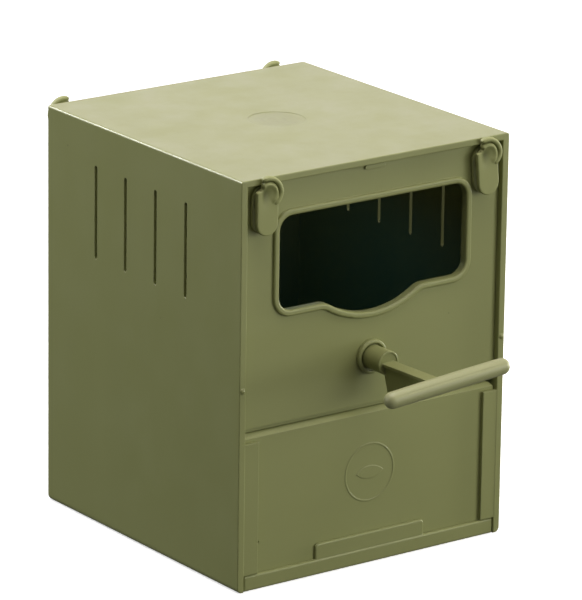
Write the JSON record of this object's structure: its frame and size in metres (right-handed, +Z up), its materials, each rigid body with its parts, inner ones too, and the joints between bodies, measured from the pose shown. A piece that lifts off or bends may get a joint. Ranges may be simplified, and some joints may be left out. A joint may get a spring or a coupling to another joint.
{
  "type": "cage bird nest box",
  "caption": "Half-open moulded nest box with a dipped front window, T-shaped perch, turning cage hooks, vent slots, pull-off front panel and slide-out bottom tray.",
  "frame": {"origin": "centre of the case's underside, on the flat bottom of the tray, level with the lower edges of the case", "axes": "+Z up, +Y from the front panel towards the back wall, +X to the right of someone facing the front"},
  "size_m": [0.12, 0.1765, 0.1551],
  "materials": {
    "case_plastic": "satin moulded",
    "panel_plastic": "satin moulded",
    "perch_plastic": "satin moulded",
    "hook_plastic": "satin moulded"
  },
  "bodies": {
    "case_body": {"case": "case_plastic", "lower_front_panel": "panel_plastic"},
    "tray_body": {"bottom_tray": "case_plastic"},
    "front_panel_body": {"upper_front_panel": "panel_plastic", "perch_socket": "panel_plastic"},
    "perch_body": {"perch_bracket": "perch_plastic", "perch_bar": "perch_plastic"},
    "front_left_hook_body": {"front_left_hook": "hook_plastic", "front_left_hook_stud": "hook_plastic"},
    "front_right_hook_body": {"front_right_hook": "hook_plastic", "front_right_hook_stud": "hook_plastic"},
    "rear_left_hook_body": {"rear_left_hook": "hook_plastic", "rear_left_hook_stud": "hook_plastic"},
    "rear_right_hook_body": {"rear_right_hook": "hook_plastic", "rear_right_hook_stud": "hook_plastic"}
  },
  "joints": [
    {"name": "tray_slide", "type": "slide", "parent": "case_body", "child": "tray_body", "axis": [0, -1, 0], "range_m": [0, 0.11]},
    {"name": "front_panel_pull", "type": "slide", "parent": "case_body", "child": "front_panel_body", "axis": [0, -1, 0], "range_m": [0, 0.05]},
    {"name": "perch_turn", "type": "hinge", "parent": "front_panel_body", "child": "perch_body", "pos_m": [0, -0.059, 0.0788], "axis": [0, 1, 0], "continuous": true},
    {"name": "front_left_hook_swing", "type": "hinge", "parent": "front_panel_body", "child": "front_left_hook_body", "pos_m": [-0.0502, -0.0592, 0.144], "axis": [0, 1, 0], "range_deg": [-18, 20]},
    {"name": "front_right_hook_swing", "type": "hinge", "parent": "front_panel_body", "child": "front_right_hook_body", "pos_m": [0.0486, -0.0592, 0.1434], "axis": [0, -1, 0], "range_deg": [-7, 28]},
    {"name": "rear_left_hook_turn", "type": "hinge", "parent": "case_body", "child": "rear_left_hook_body", "pos_m": [-0.0488, 0.0612, 0.1438], "axis": [0, 1, 0], "continuous": true},
    {"name": "rear_right_hook_turn", "type": "hinge", "parent": "case_body", "child": "rear_right_hook_body", "pos_m": [0.0481, 0.0612, 0.1436], "axis": [0, 1, 0], "continuous": true}
  ]
}
